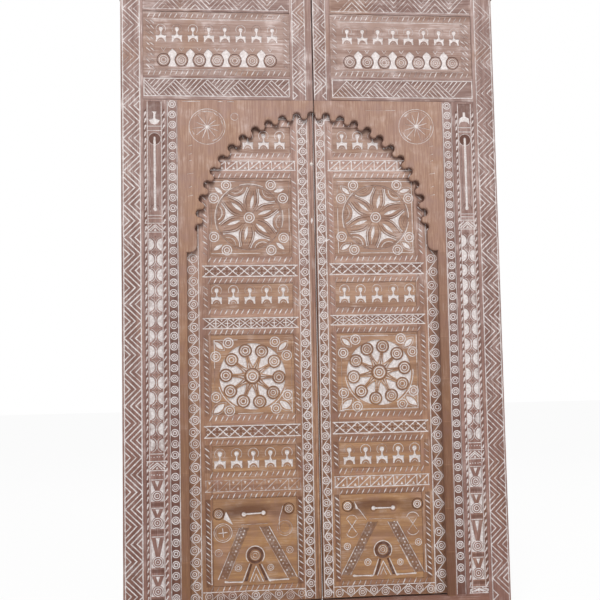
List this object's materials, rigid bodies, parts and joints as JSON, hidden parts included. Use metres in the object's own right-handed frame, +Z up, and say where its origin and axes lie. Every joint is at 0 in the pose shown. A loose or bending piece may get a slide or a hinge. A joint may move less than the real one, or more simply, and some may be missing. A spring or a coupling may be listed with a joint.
{
  "type": "carved double gate with wicket doors",
  "caption": "Wooden gate leaves pivot-hung in a plain frame, carved in relief, with a scalloped arch over a pair of inner wicket doors.",
  "frame": {"origin": "middle of the sill's underside, half way through the frame's depth", "axes": "+X to the right seen from the carved front, -Y out of the carved front, +Z up"},
  "size_m": [1.58, 0.138, 2.668],
  "materials": {
    "gate_wood": "matt, weathered",
    "wicket_wood": "matt, weathered",
    "panel_wood": "matt, carved",
    "frame_wood": "matt, rough sawn",
    "peg_wood": "matt",
    "stud_metal": "worn bright"
  },
  "bodies": {
    "frame": {"frame_head": "frame_wood", "frame_sill": "frame_wood", "frame_jamb_left": "frame_wood", "frame_jamb_right": "frame_wood", "frame_pegs": "peg_wood"},
    "gate_left": {"gate_left_heel_stile": "gate_wood", "gate_left_top_rail": "gate_wood", "gate_left_meeting_stile": "gate_wood", "gate_left_transom_panel": "panel_wood", "gate_left_herringbone_rail": "gate_wood", "gate_left_arch_board": "gate_wood", "gate_left_post": "gate_wood", "gate_left_side_panel": "panel_wood", "gate_left_bottom_rail": "gate_wood", "gate_left_pegs": "peg_wood"},
    "gate_right": {"gate_right_heel_stile": "gate_wood", "gate_right_top_rail": "gate_wood", "gate_right_meeting_stile": "gate_wood", "gate_right_transom_panel": "panel_wood", "gate_right_herringbone_rail": "gate_wood", "gate_right_arch_board": "gate_wood", "gate_right_post": "gate_wood", "gate_right_side_panel": "panel_wood", "gate_right_bottom_rail": "gate_wood", "gate_right_pegs": "peg_wood"},
    "wicket_left": {"wicket_left_heel_stile": "wicket_wood", "wicket_left_meeting_stile": "wicket_wood", "wicket_left_bottom_rail": "wicket_wood", "wicket_left_compass_panel": "panel_wood", "wicket_left_band_1": "wicket_wood", "wicket_left_figures_low": "panel_wood", "wicket_left_band_2": "wicket_wood", "wicket_left_wheel_panel": "panel_wood", "wicket_left_band_3": "wicket_wood", "wicket_left_figures_mid": "panel_wood", "wicket_left_band_4": "wicket_wood", "wicket_left_rosette_panel": "panel_wood", "wicket_left_band_5": "wicket_wood", "wicket_left_figures_high": "panel_wood", "wicket_left_top_rail": "wicket_wood", "wicket_left_pegs": "peg_wood", "wicket_left_astragal": "wicket_wood", "wicket_left_stud": "stud_metal"},
    "wicket_right": {"wicket_right_heel_stile": "wicket_wood", "wicket_right_meeting_stile": "wicket_wood", "wicket_right_bottom_rail": "wicket_wood", "wicket_right_compass_panel": "panel_wood", "wicket_right_band_1": "wicket_wood", "wicket_right_figures_low": "panel_wood", "wicket_right_band_2": "wicket_wood", "wicket_right_wheel_panel": "panel_wood", "wicket_right_band_3": "wicket_wood", "wicket_right_figures_mid": "panel_wood", "wicket_right_band_4": "wicket_wood", "wicket_right_rosette_panel": "panel_wood", "wicket_right_band_5": "wicket_wood", "wicket_right_figures_high": "panel_wood", "wicket_right_top_rail": "wicket_wood", "wicket_right_pegs": "peg_wood"}
  },
  "joints": [
    {"name": "gate_left_pivot", "type": "hinge", "parent": "frame", "child": "gate_left", "pos_m": [-0.744, -0.039, 0], "axis": [0, 0, -1], "range_deg": [0, 100]},
    {"name": "gate_right_pivot", "type": "hinge", "parent": "frame", "child": "gate_right", "pos_m": [0.744, -0.039, 0], "axis": [0, 0, 1], "range_deg": [0, 100]},
    {"name": "wicket_left_pivot", "type": "hinge", "parent": "gate_left", "child": "wicket_left", "pos_m": [-0.54, -0.027, 0], "axis": [0, 0, 1], "range_deg": [0, 100]},
    {"name": "wicket_right_pivot", "type": "hinge", "parent": "gate_right", "child": "wicket_right", "pos_m": [0.54, -0.027, 0], "axis": [0, 0, -1], "range_deg": [0, 100]}
  ]
}
